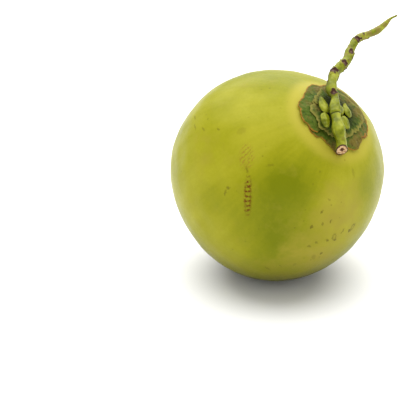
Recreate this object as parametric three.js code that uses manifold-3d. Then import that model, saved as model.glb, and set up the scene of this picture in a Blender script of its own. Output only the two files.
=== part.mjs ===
// A young green coconut as picked: the whole husk with its calyx of overlapping scales, and the length of
// flower stalk that it hung from, cut at one end and tapering to a twig at the other. It rests on a small
// flat spot with its stem end leaning over to one side.
//
// Millimetres, +Z up. The origin is the centre of the flat resting spot, and the stem end leans towards +X.
// Everything on the stem end is laid out in the fruit's own frame: its origin is the middle of the fruit,
// and its Z axis runs out through the middle of the calyx.

import * as THREE from "three";
import { mergeVertices } from "three/addons/utils/BufferGeometryUtils.js";
import Module from "manifold-3d";

const wasm = await Module();
wasm.setup();

const { degToRad, smoothstep } = THREE.MathUtils;

// ---------------------------------------------------------------- driving dimensions

const CLEARANCE = 0.3; // between pieces that touch

// The husk is a ball with three soft ridges, pressed a little oval.
const HUSK_RADIUS = 80;
const RIDGE_COUNT = 3;
const RIDGE_SWELL = 0.02; // part of the radius
const RIDGE_ANGLE = degToRad(84);
const OVAL_SWELL = 0.0105; // part of the radius
const OVAL_ANGLE = degToRad(66);
const HUSK_DETAIL = 11; // each edge of a twenty-sided ball is cut into one more than this
const STEM_LEAN = degToRad(41.5);
const REST_SPOT_RADIUS = 13;

// Calyx: three petals on the husk, and three sepals over them, turned by half a step.
const SCALES_IN_WHORL = 3;
const SCALE_HALF_ANGLE = degToRad(75);
const SCALE_THICKNESS = 0.8;
const SCALE_RISE = SCALE_THICKNESS + CLEARANCE; // one edge of each scale lies on its neighbour
const SCALE_STEPS = { around: 14, outwards: 5 };
const SCALE_RIM_ROUNDING = 0.13; // how far the rim draws in at a scale's two sides
const SCALE_INNER_ARC = 4.2;
const PETALS = { name: "petal", rimArc: 31, firstAngle: degToRad(-30), seat: CLEARANCE };
const SEPALS = {
  name: "sepal",
  rimArc: 22,
  firstAngle: degToRad(30),
  seat: PETALS.seat + SCALE_THICKNESS + SCALE_RISE + CLEARANCE,
};
const CALYX_TOP = SEPALS.seat + SCALE_THICKNESS + SCALE_RISE;

// Bracts: small fleshy scales that lie on the sepals, close beside the stalk.
const BRACT_THICKNESS = 2.6;
const BRACT_DETAIL = 3;
const BRACTS = [
  { x: -9.6, y: -9.6, angle: degToRad(-20), length: 12.5, width: 5.6 },
  { x: 2.2, y: -17.4, angle: degToRad(-27), length: 11.5, width: 5.2 },
  { x: 1.4, y: 6.8, angle: degToRad(-15), length: 11.0, width: 5.6 },
  { x: 9.6, y: -3.0, angle: degToRad(-8), length: 11.5, width: 8.0 },
];

// Stalk: stations from the cut end, over the calyx and out to the tip of the twig.
const STALK_SIDES = 10;
const STALK_STEPS = 64;
const STALK = [
  { x: 26.0, y: -17.5, z: 81.4, radius: 4.3 },
  { x: 19.0, y: -17.0, z: 85.3, radius: 3.9 },
  { x: 12.5, y: -15.6, z: 88.1, radius: 4.7 },
  { x: 6.0, y: -12.6, z: 88.8, radius: 3.2 },
  { x: 2.0, y: -10.5, z: 89.0, radius: 3.6 },
  { x: -3.4, y: -6.1, z: 89.5, radius: 3.7 },
  { x: -7.2, y: -2.8, z: 89.4, radius: 2.8 },
  { x: -10.4, y: -0.8, z: 89.3, radius: 3.2 },
  { x: -15.8, y: 0.7, z: 89.1, radius: 3.9 },
  { x: -24.5, y: 9.5, z: 91.0, radius: 3.6 },
  { x: -28.5, y: 17.5, z: 93.0, radius: 3.8 },
  { x: -31.0, y: 26.0, z: 95.5, radius: 3.5 },
  { x: -37.5, y: 35.0, z: 98.0, radius: 3.1 },
  { x: -42.5, y: 45.0, z: 101.0, radius: 2.8 },
  { x: -41.5, y: 58.0, z: 105.5, radius: 2.8 },
  { x: -42.5, y: 67.0, z: 109.0, radius: 2.3 },
  { x: -44.5, y: 74.0, z: 113.0, radius: 1.1 },
  { x: -44.5, y: 79.5, z: 115.5, radius: 0.7 },
];

// Neck: the fruit's own short stem, from the middle of the calyx to the underside of the stalk.
const NECK_SIDES = 10;
const NECK_STEPS = 8;
const NECK = [
  { x: 0.0, y: 0.0, z: HUSK_RADIUS + CLEARANCE, radius: 3.2 },
  { x: 0.0, y: -0.4, z: 84.6, radius: 3.4 },
  { x: -0.8, y: -4.0, z: 87.6, radius: 3.4 },
  { x: -1.2, y: -7.6, z: 88.8, radius: 2.8 },
];

// ---------------------------------------------------------------- finishes

function finish(name, color, roughness) {
  return new THREE.MeshStandardMaterial({ name, color, roughness, metalness: 0 });
}

const HUSK_SKIN = finish("husk_skin", "#a9a53c", 0.38);
const CALYX_SCALE = finish("calyx_scale", "#66763a", 0.6);
const BRACT_SKIN = finish("bract", "#8fa035", 0.55);
const STALK_SKIN = finish("stalk", "#a0a536", 0.5);

// ---------------------------------------------------------------- shared geometry

// The husk's radius in a direction given by the angle from the stem axis and the angle round it.
function huskRadius(fromStem, round) {
  const girth = Math.sin(fromStem) ** 2;
  const ridges = RIDGE_SWELL * Math.cos(RIDGE_COUNT * (round - RIDGE_ANGLE));
  const oval = OVAL_SWELL * Math.cos(2 * (round - OVAL_ANGLE));
  return HUSK_RADIUS * (1 + girth * (ridges + oval));
}

// The point at a height above the husk's skin, in the fruit's frame.
function overHusk(fromStem, round, height) {
  const outwards = new THREE.Vector3(
    Math.sin(fromStem) * Math.cos(round),
    Math.sin(fromStem) * Math.sin(round),
    Math.cos(fromStem),
  );
  return outwards.multiplyScalar(huskRadius(fromStem, round) + height);
}

// Moves every corner of a geometry to where place() puts it, and welds what then coincides.
function reshape(geometry, place) {
  const shaped = geometry.clone();
  shaped.deleteAttribute("normal");
  shaped.deleteAttribute("uv");
  const corners = shaped.getAttribute("position");
  const corner = new THREE.Vector3();
  for (let i = 0; i < corners.count; i += 1) {
    const moved = place(corner.fromBufferAttribute(corners, i));
    corners.setXYZ(i, moved.x, moved.y, moved.z);
  }
  return mergeVertices(shaped);
}

function toSolid(geometry) {
  const vertProperties = Float32Array.from(geometry.getAttribute("position").array);
  const triVerts = Uint32Array.from(geometry.getIndex().array);
  return new wasm.Manifold(new wasm.Mesh({ numProp: 3, vertProperties, triVerts }));
}

function fromSolid(solid) {
  const mesh = solid.getMesh();
  const geometry = new THREE.BufferGeometry();
  geometry.setAttribute("position", new THREE.BufferAttribute(mesh.vertProperties, 3));
  geometry.setIndex(new THREE.BufferAttribute(mesh.triVerts, 1));
  return geometry;
}

function piece(name, geometry, material) {
  geometry.computeVertexNormals();
  const mesh = new THREE.Mesh(geometry, material);
  mesh.name = name;
  return mesh;
}

// A round rod bent along stations that each give a point and a radius.
function taperedRod(stations, sides, steps) {
  const route = new THREE.CatmullRomCurve3(stations.map((s) => new THREE.Vector3(s.x, s.y, s.z)));
  const girth = new THREE.SplineCurve(stations.map((s, i) => new THREE.Vector2(i, s.radius)));
  const frames = route.computeFrenetFrames(steps, false);
  const rod = new THREE.CylinderGeometry(1, 1, 1, sides, steps);
  return reshape(rod, (corner) => {
    const step = Math.round((corner.y + 0.5) * steps);
    const along = route.getUtoTmapping(step / steps);
    const radius = girth.getPoint(along).y;
    return route.getPoint(along)
      .addScaledVector(frames.normals[step], corner.x * radius)
      .addScaledVector(frames.binormals[step], -corner.z * radius);
  });
}

// ---------------------------------------------------------------- husk

// The fruit's middle stands over the resting spot at the height where the spot's edge meets the ground.
function fruitHeight() {
  const downFromStem = Math.PI - STEM_LEAN;
  return Math.sqrt(huskRadius(downFromStem, 0) ** 2 - REST_SPOT_RADIUS ** 2);
}

function huskGeometry() {
  const ball = new THREE.IcosahedronGeometry(1, HUSK_DETAIL);
  const husk = reshape(ball, (corner) => {
    const fromStem = Math.acos(THREE.MathUtils.clamp(corner.z, -1, 1));
    return corner.clone().multiplyScalar(huskRadius(fromStem, Math.atan2(corner.y, corner.x)));
  });
  husk.rotateY(STEM_LEAN);
  husk.translate(0, 0, fruitHeight());

  const side = 3 * HUSK_RADIUS;
  const ground = new THREE.BoxGeometry(side, side, side);
  ground.translate(0, 0, -side / 2);
  return fromSolid(toSolid(husk).subtract(toSolid(reshape(ground, (corner) => corner))));
}

// ---------------------------------------------------------------- calyx

// One scale of a whorl: a thin plate bent over the husk. Its two sides differ in height, so that the high
// side lies over the low side of the next scale.
function scaleGeometry(whorl, middleAngle) {
  const plate = new THREE.BoxGeometry(1, 1, 1, SCALE_STEPS.around, SCALE_STEPS.outwards, 1);
  const overlapStart = Math.PI / SCALES_IN_WHORL - (SCALE_HALF_ANGLE - Math.PI / SCALES_IN_WHORL);
  return reshape(plate, (corner) => {
    const offset = -2 * corner.x * SCALE_HALF_ANGLE;
    const rim = whorl.rimArc * (1 - SCALE_RIM_ROUNDING * (offset / SCALE_HALF_ANGLE) ** 4);
    const arc = THREE.MathUtils.lerp(SCALE_INNER_ARC, rim, corner.y + 0.5);
    const lift = SCALE_RISE * smoothstep(offset, -overlapStart, overlapStart);
    const height = whorl.seat + lift + SCALE_THICKNESS * (corner.z + 0.5);
    return overHusk(arc / HUSK_RADIUS, middleAngle + offset, height);
  });
}

function whorlPieces(whorl) {
  const pieces = [];
  for (let i = 0; i < SCALES_IN_WHORL; i += 1) {
    const middleAngle = whorl.firstAngle + (i * 2 * Math.PI) / SCALES_IN_WHORL;
    pieces.push(piece(`${whorl.name}_${i + 1}`, scaleGeometry(whorl, middleAngle), CALYX_SCALE));
  }
  return pieces;
}

// ---------------------------------------------------------------- bracts

function bractGeometry(bract) {
  const bead = reshape(new THREE.IcosahedronGeometry(0.5, BRACT_DETAIL), (corner) => corner);
  bead.scale(bract.length, bract.width, BRACT_THICKNESS);
  bead.rotateZ(bract.angle);

  const centreRadius = HUSK_RADIUS + CALYX_TOP + CLEARANCE + BRACT_THICKNESS / 2;
  const height = Math.sqrt(centreRadius ** 2 - bract.x ** 2 - bract.y ** 2);
  const centre = new THREE.Vector3(bract.x, bract.y, height);
  const lean = new THREE.Quaternion().setFromUnitVectors(
    new THREE.Vector3(0, 0, 1),
    centre.clone().normalize(),
  );
  bead.applyQuaternion(lean);
  bead.translate(centre.x, centre.y, centre.z);
  return bead;
}

// ---------------------------------------------------------------- stalk

function stalkGeometry() {
  const stalk = toSolid(taperedRod(STALK, STALK_SIDES, STALK_STEPS));
  const neck = toSolid(taperedRod(NECK, NECK_SIDES, NECK_STEPS));
  return fromSolid(stalk.add(neck));
}

// ---------------------------------------------------------------- the coconut

const stemEnd = new THREE.Group();
stemEnd.position.z = fruitHeight();
stemEnd.rotation.y = STEM_LEAN;
stemEnd.add(...whorlPieces(PETALS), ...whorlPieces(SEPALS));
stemEnd.add(...BRACTS.map((bract, i) => piece(`bract_${i + 1}`, bractGeometry(bract), BRACT_SKIN)));
stemEnd.add(piece("stalk", stalkGeometry(), STALK_SKIN));

const coconut = new THREE.Group();
coconut.name = "green_coconut";
coconut.add(piece("husk", huskGeometry(), HUSK_SKIN));
coconut.add(stemEnd);

export default coconut;
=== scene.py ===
"""A young green coconut as picked: husk, calyx and flower stalk, dressed and lit for a plain studio picture.

Shapes are worked out in millimetres in the fruit's own frame: its origin is the middle of the husk, and its
Z axis runs out through the middle of the calyx. Each finished piece is turned into metres in the part's
frame, where +Z is up, the fruit rests on the origin and its stem end leans towards +X.
"""

import logging
import math
from collections.abc import Iterable
from dataclasses import dataclass, field
from enum import Enum

import bmesh
import bpy
import numpy as np
from bpy.types import Material, Mesh, Node, NodeSocket, NodeTree, Object
from mathutils import Matrix, Vector

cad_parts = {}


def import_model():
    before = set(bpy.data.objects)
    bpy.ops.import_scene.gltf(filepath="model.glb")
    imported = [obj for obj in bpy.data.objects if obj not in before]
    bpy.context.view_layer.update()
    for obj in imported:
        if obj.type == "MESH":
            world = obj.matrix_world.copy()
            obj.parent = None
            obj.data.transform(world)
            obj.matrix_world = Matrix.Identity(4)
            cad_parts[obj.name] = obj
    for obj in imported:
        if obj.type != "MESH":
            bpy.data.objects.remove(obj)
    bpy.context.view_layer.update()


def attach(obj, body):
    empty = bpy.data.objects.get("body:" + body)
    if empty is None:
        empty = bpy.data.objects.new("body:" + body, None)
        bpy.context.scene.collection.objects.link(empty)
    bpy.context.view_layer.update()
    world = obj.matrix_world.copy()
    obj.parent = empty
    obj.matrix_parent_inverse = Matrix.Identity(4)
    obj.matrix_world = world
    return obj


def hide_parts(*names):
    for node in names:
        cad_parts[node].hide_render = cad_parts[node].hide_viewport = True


LOG = logging.getLogger("green_coconut")
MM = 0.001


# ---------------------------------------------------------------- shared helpers


def linear(srgb: str) -> tuple[float, float, float, float]:
    """Turn an sRGB colour into the linear light that shaders work in.

    Args:
        srgb: the colour as "#rrggbb".

    Returns:
        Red, green, blue and an alpha of 1.
    """
    channels = [int(srgb[i:i + 2], 16) / 255 for i in (1, 3, 5)]
    lit = [c / 12.92 if c <= 0.04045 else ((c + 0.055) / 1.055) ** 2.4 for c in channels]
    return (*lit, 1.0)


def smooth(values: np.ndarray, low: float, high: float) -> np.ndarray:
    """Rise from 0 to 1 between two values, with no corner at either end.

    Args:
        values: where to read the rise.
        low: the value at which it leaves 0.
        high: the value at which it reaches 1.

    Returns:
        The rise at each value.
    """
    t = np.clip((values - low) / (high - low), 0, 1)
    return t * t * (3 - 2 * t)


def unit(vectors: np.ndarray) -> np.ndarray:
    """Scale each vector of an array to length 1."""
    return vectors / np.linalg.norm(vectors, axis=-1, keepdims=True)


@dataclass(frozen=True)
class Ripple:
    """Smooth seeded unevenness of one wavelength, made of plane waves in every direction.

    Args:
        wavelength: the distance from one swell to the next, in millimetres.
        seed: which pattern it is.
        waves: how many plane waves are added.
    """

    wavelength: float
    seed: int
    waves: int = 28

    def __call__(self, points: np.ndarray) -> np.ndarray:
        """Read the unevenness at points.

        Args:
            points: places in millimetres, with x, y and z on the last axis.

        Returns:
            One value for each point, mostly between -1 and 1.
        """
        draw = np.random.default_rng(self.seed)
        headings = unit(draw.normal(size=(self.waves, 3)))
        lengths = self.wavelength * draw.uniform(0.8, 1.35, self.waves)
        phases = draw.uniform(0, 2 * math.pi, self.waves)
        total = np.zeros(points.shape[:-1])
        for heading, length, phase in zip(headings, lengths, phases):
            total += np.cos(points @ heading * (2 * math.pi / length) + phase)
        return total / math.sqrt(self.waves)


def add_node(tree: NodeTree, kind: str, settings: dict, inputs: dict) -> Node:
    """Add one node with its settings and links.

    Args:
        tree: the node tree to add it to.
        kind: the node's type without its leading "ShaderNode", such as "Math".
        settings: the node's own properties by name.
        inputs: its sockets by name or number. A node or socket is linked, and anything else is set.

    Returns:
        The new node.
    """
    node = tree.nodes.new(f"ShaderNode{kind}")
    for name, value in settings.items():
        setattr(node, name, value)
    for key, value in inputs.items():
        by_name = (s for s in node.inputs if s.enabled and s.name == key)
        socket = node.inputs[key] if isinstance(key, int) else next(by_name)
        if isinstance(value, Node):
            value = next(s for s in value.outputs if s.enabled)
        if isinstance(value, NodeSocket):
            tree.links.new(value, socket)
        else:
            socket.default_value = value
    return node


# ---------------------------------------------------------------- the fruit's form


@dataclass(frozen=True)
class FruitForm:
    """The husk's own form and stance, which everything on it follows.

    A ball with three soft ridges, pressed a little oval, leaning over on a small flat spot.

    Args:
        radius: its radius at both ends, and on average round its middle, in millimetres.
        ridge_count, ridge_swell, ridge_angle: how many ridges it has, how high they are as a share of the
            radius, and where the first is round the stem axis.
        oval_swell, oval_angle: how much it is drawn out, as a share of the radius, and which way.
        stem_lean: how far its stem end leans over.
        rest_spot_radius: the radius of its resting spot, in millimetres.
    """

    radius: float = 80.0
    ridge_count: int = 3
    ridge_swell: float = 0.02
    ridge_angle: float = math.radians(84)
    oval_swell: float = 0.0105
    oval_angle: float = math.radians(66)
    stem_lean: float = math.radians(41.5)
    rest_spot_radius: float = 13.0

    def radius_at(self, from_stem: np.ndarray, around: np.ndarray) -> np.ndarray:
        """Give the husk's radius in a direction.

        Args:
            from_stem: the angle from the stem axis.
            around: the angle round that axis.

        Returns:
            The radius in millimetres.
        """
        ridges = self.ridge_swell * np.cos(self.ridge_count * (around - self.ridge_angle))
        oval = self.oval_swell * np.cos(2 * (around - self.oval_angle))
        return self.radius * (1 + np.sin(from_stem) ** 2 * (ridges + oval))

    def over(self, from_stem: np.ndarray, around: np.ndarray, height: np.ndarray) -> np.ndarray:
        """Place points at a height above the husk's skin.

        Args:
            from_stem: the angle from the stem axis.
            around: the angle round that axis.
            height: how far above the skin, in millimetres.

        Returns:
            The points in the fruit's frame.
        """
        across = np.sin(from_stem)
        outwards = [across * np.cos(around), across * np.sin(around), np.cos(from_stem)]
        reach = self.radius_at(from_stem, around) + height
        return np.stack(np.broadcast_arrays(*outwards), -1) * np.asarray(reach)[..., None]

    @property
    def centre_height(self) -> float:
        """How high the middle of the fruit stands over its resting spot, in millimetres."""
        underside = self.radius_at(np.array(math.pi - self.stem_lean), np.array(0.0))
        return math.sqrt(float(underside) ** 2 - self.rest_spot_radius ** 2)

    def to_ground(self, points: np.ndarray) -> np.ndarray:
        """Turn points from the fruit's frame into the part's frame, both in millimetres."""
        lean = np.array(Matrix.Rotation(self.stem_lean, 3, "Y"))
        return points @ lean.T + np.array([0, 0, self.centre_height])

    def direction(self, from_stem: float, around: float) -> Vector:
        """Give a unit direction in the fruit's frame from two angles in degrees."""
        a, b = math.radians(from_stem), math.radians(around)
        return Vector((math.sin(a) * math.cos(b), math.sin(a) * math.sin(b), math.cos(a)))


@dataclass
class Piece:
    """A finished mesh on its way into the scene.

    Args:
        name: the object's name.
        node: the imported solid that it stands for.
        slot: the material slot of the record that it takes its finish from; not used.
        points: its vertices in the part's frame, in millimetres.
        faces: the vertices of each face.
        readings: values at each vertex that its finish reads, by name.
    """

    name: str
    node: str
    slot: str
    points: np.ndarray
    faces: list
    readings: dict = field(default_factory=dict)

    def place(self, material: Material) -> Object:
        """Make the object, give it its finish and let it ride on the fruit.

        Args:
            material: the finish.

        Returns:
            The object, in metres in the part's frame.
        """
        mesh = bpy.data.meshes.new(self.name)
        mesh.from_pydata((self.points * MM).tolist(), [], self.faces)
        for name, values in self.readings.items():
            layer = mesh.attributes.new(name, "FLOAT", "POINT")
            layer.data.foreach_set("value", np.asarray(values, np.float32))
        self.face_outwards(mesh)
        mesh.shade_smooth()
        mesh.materials.append(material)
        made = bpy.data.objects.new(self.name, mesh)
        bpy.context.scene.collection.objects.link(made)
        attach(made, "root")
        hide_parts(self.node)
        LOG.info("%s: %d vertices, %d faces", self.name, len(self.points), len(self.faces))
        return made

    @staticmethod
    def face_outwards(mesh: Mesh) -> None:
        """Turn every face of a closed mesh to look out.

        Args:
            mesh: the mesh.
        """
        work = bmesh.new()
        work.from_mesh(mesh)
        bmesh.ops.recalc_face_normals(work, faces=work.faces)
        work.to_mesh(mesh)
        work.free()


def loft_faces(loops: int, across: int) -> list:
    """Join closed loops of vertices into a skin with a cap at each end.

    Args:
        loops: how many loops there are, stored one after another.
        across: how many vertices each loop has.

    Returns:
        The faces as lists of vertex numbers.
    """
    here = np.arange(loops * across).reshape(loops, across)
    beside = np.roll(here, -1, axis=1)
    sides = np.stack([here[:-1], beside[:-1], beside[1:], here[1:]], -1).reshape(-1, 4)
    return [*sides.tolist(), here[0][::-1].tolist(), here[-1].tolist()]


# ---------------------------------------------------------------- finishes


@dataclass(frozen=True)
class Pattern:
    """A skin's unevenness of one size.

    Args:
        name: what it is called among the skin's patterns.
        width: the distance from one swell to the next, in millimetres.
        detail: how many finer sizes come with it.
        roughness: how strong those are.
    """

    name: str
    width: float
    detail: float = 2.0
    roughness: float = 0.5


@dataclass(frozen=True)
class Finish:
    """What every finish here shares. By itself it is one plain colour.

    Args:
        name: the material's name.
        form: the fruit that it grows on.
        patterns: its unevenness, one pattern for each size.
        plain: its colour where nothing else is said.
        roughness: how dull it is.
        specular: how strongly it mirrors when seen square on; 0.5 is what its refractive index gives.
        coat: how much of it is waxed.
        coat_roughness: how dull the wax is.
        ior: its refractive index; plant wax is near 1.45.
    """

    name: str
    form: FruitForm = FruitForm()
    patterns: tuple[Pattern, ...] = ()
    plain: str = "#ffffff"
    roughness: float = 0.45
    specular: float = 0.3
    coat: float = 0.0
    coat_roughness: float = 0.2
    ior: float = 1.45

    def make(self) -> Material:
        """Build the material from what is the same all over and what varies.

        Returns:
            The material.
        """
        material = bpy.data.materials.new(self.name)
        material.use_nodes = True
        tree = material.node_tree
        tree.nodes.clear()
        shader = add_node(tree, "BsdfPrincipled", {}, {
            "Roughness": self.roughness,
            "IOR": self.ior,
            "Specular IOR Level": self.specular,
            "Coat Weight": self.coat,
            "Coat Roughness": self.coat_roughness,
            **self.varying(tree),
        })
        add_node(tree, "OutputMaterial", {}, {"Surface": shader})
        return material

    def varying(self, tree: NodeTree) -> dict:
        """Add the nodes that a finish has of its own, and give the shader inputs that they feed, by name."""
        return {"Base Color": linear(self.plain)}

    def fruit_millimetres(self, tree: NodeTree) -> tuple[Node, dict[str, Node]]:
        """Add the place on the piece, in millimetres in the fruit's frame, and the patterns that lie there.

        Args:
            tree: the material's node tree.

        Returns:
            The node that gives the place, and the patterns by name.
        """
        here = add_node(tree, "TexCoord", {}, {})
        place = add_node(tree, "Mapping", {"vector_type": "TEXTURE"}, {
            "Vector": here.outputs["Object"],
            "Location": (0, 0, self.form.centre_height * MM),
            "Rotation": (0, self.form.stem_lean, 0),
            "Scale": (MM, MM, MM),
        })
        patterns = {}
        for pattern in self.patterns:
            patterns[pattern.name] = add_node(tree, "TexNoise", {}, {
                "Vector": place,
                "Scale": 1 / pattern.width,
                "Detail": pattern.detail,
                "Roughness": pattern.roughness,
            })
        return place, patterns

    @staticmethod
    def cover(tree: NodeTree, colour: Node | tuple, coats: Iterable) -> Node:
        """Lay coats over a colour, each over the ones before it.

        Args:
            tree: the material's node tree.
            colour: what they lie on.
            coats: for each coat, the node that gives its share and its sRGB colour.

        Returns:
            The node that gives the colour.
        """
        for share, paint in coats:
            colour = add_node(tree, "Mix", {"data_type": "RGBA"}, {
                "Factor": share, "A": colour, "B": linear(paint),
            })
        return colour


class MarkKind(Enum):
    """The kinds of blemish on a coconut's skin."""

    SPOT = "spot"
    RING = "ring"
    LADDER = "ladder"
    HATCH = "hatch"


@dataclass(frozen=True)
class Mark:
    """One blemish on the skin.

    Args:
        from_stem: the angle of its middle from the stem axis, in degrees.
        around: the angle of its middle round that axis, in degrees.
        length: its longer side in millimetres.
        width: its shorter side in millimetres.
        turn: the angle of its longer side from the meridian, in degrees, towards greater "around".
        depth: how strongly it is coloured, from 0 to 1.
        kind: what it looks like.
    """

    from_stem: float
    around: float
    length: float
    width: float
    turn: float = 0.0
    depth: float = 1.0
    kind: MarkKind = MarkKind.SPOT

    def axes(self, form: FruitForm) -> Matrix:
        """Give the mark's own axes.

        Args:
            form: the fruit that it is on.

        Returns:
            The directions along it, across it and out of the skin, as columns in the fruit's frame.
        """
        outwards = form.direction(self.from_stem, self.around)
        down = form.direction(self.from_stem + 90, self.around)
        side = outwards.cross(down)
        turn = math.radians(self.turn)
        along = down * math.cos(turn) + side * math.sin(turn)
        return Matrix((along, outwards.cross(along), outwards)).transposed()


class Shade(Enum):
    """The ways in which a patch of skin differs from the rest; the darkening is painted shade."""

    GREEN = "green"
    TAN = "tan"
    PAINTED_SHADE = "dark"


@dataclass(frozen=True)
class Zone:
    """A broad patch of skin of another shade.

    Args:
        from_stem: the angle of its middle from the stem axis, in degrees.
        around: the angle of its middle round that axis, in degrees.
        reach: its radius in degrees.
        green: how much greener it is than the rest, or yellower below 0.
        tan: how much browner it is, as where the rind has begun to dry.
        dark: how much painted shade darkens it, as on the underside.
    """

    from_stem: float
    around: float
    reach: float
    green: float
    tan: float = 0.0
    dark: float = 0.0


FACING_ZONES = (
    Zone(37, -64, 22, 0.26),
    Zone(50, -60, 24, 0.16),
    Zone(66, -55, 32, 0.26),
    Zone(84, -45, 34, 0.20),
    # Painted shade over the underside.
    Zone(138.5, 0, 72, 0.0, 0.0, 0.8),
    Zone(38, -96, 20, -0.12),
    Zone(56, -128, 26, -0.10),
    Zone(70, -150, 20, -0.15),
    Zone(47, -20, 20, -0.15, 0.4),
    Zone(66, -22, 30, -0.15, 0.55),
    Zone(90, -25, 30, -0.05, 0.4),
    Zone(45, 20, 22, 0.35),
    Zone(75, -112, 16, 0.1, 0.3),
    Zone(95, 95, 50, 0.25),
    Zone(60, 150, 40, -0.2, 0.3),
    Zone(80, 165, 75, 0.35),
)

FACING_MARKS = (
    Mark(65.5, -76.5, 34, 6.6, 44, 1.0, MarkKind.LADDER),
    Mark(54, -95, 22, 13, 60, 0.7, MarkKind.HATCH),
    Mark(57.5, -88, 4.5, 2.2, 70, 0.6),
    Mark(46.5, -81, 5, 2.2, -40, 0.4),
    Mark(79, -137, 7, 1.6, -70, 0.7),
    Mark(78, -130, 8, 1.6, -75, 0.5),
    Mark(72, -125, 5, 2.0, -60, 0.5),
    Mark(63, -120, 4.5, 1.5, -50, 0.6),
    Mark(51, -112, 9, 6, 0, 0.22),
    Mark(71, -87, 3.5, 2.5, 0, 0.7),
    Mark(74, -86, 5, 2.2, 30, 0.6),
    Mark(31, -9, 9, 3, 10, 0.3),
    Mark(45, -32, 3.5, 1.8, 60, 0.45),
    Mark(52, -34, 3.6, 2.0, -10, 0.8),
    Mark(56, -25, 3.0, 2.0, 0, 0.8),
    Mark(58, -30, 3.6, 2.2, 20, 0.6),
    Mark(61, -36, 3.4, 2.6, 0, 0.8),
    Mark(65, -18, 7.5, 4.6, 20, 0.9, MarkKind.RING),
    Mark(67, -16.5, 3.2, 2.4, 60, 0.9),
    Mark(61, -5, 7.5, 4.4, -35, 1.0, MarkKind.RING),
    Mark(62.5, -7.5, 3.0, 2.4, 0, 1.0),
    Mark(62, -13, 5.0, 2.2, -30, 0.7),
    Mark(67, -22, 3.8, 2.4, 60, 0.8),
    Mark(69, -28, 4.4, 2.2, 70, 0.6),
    Mark(72, -31, 4.4, 2.0, 80, 0.6),
    Mark(76, -21, 3.6, 2.6, 0, 0.9),
    Mark(79, -24, 7, 4, 30, 0.35),
    Mark(87, -31, 5, 3, 0, 0.35),
    Mark(91, -37, 5, 1.6, 60, 0.5),
    Mark(97, -41, 8, 2.0, 70, 0.5),
)


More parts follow.
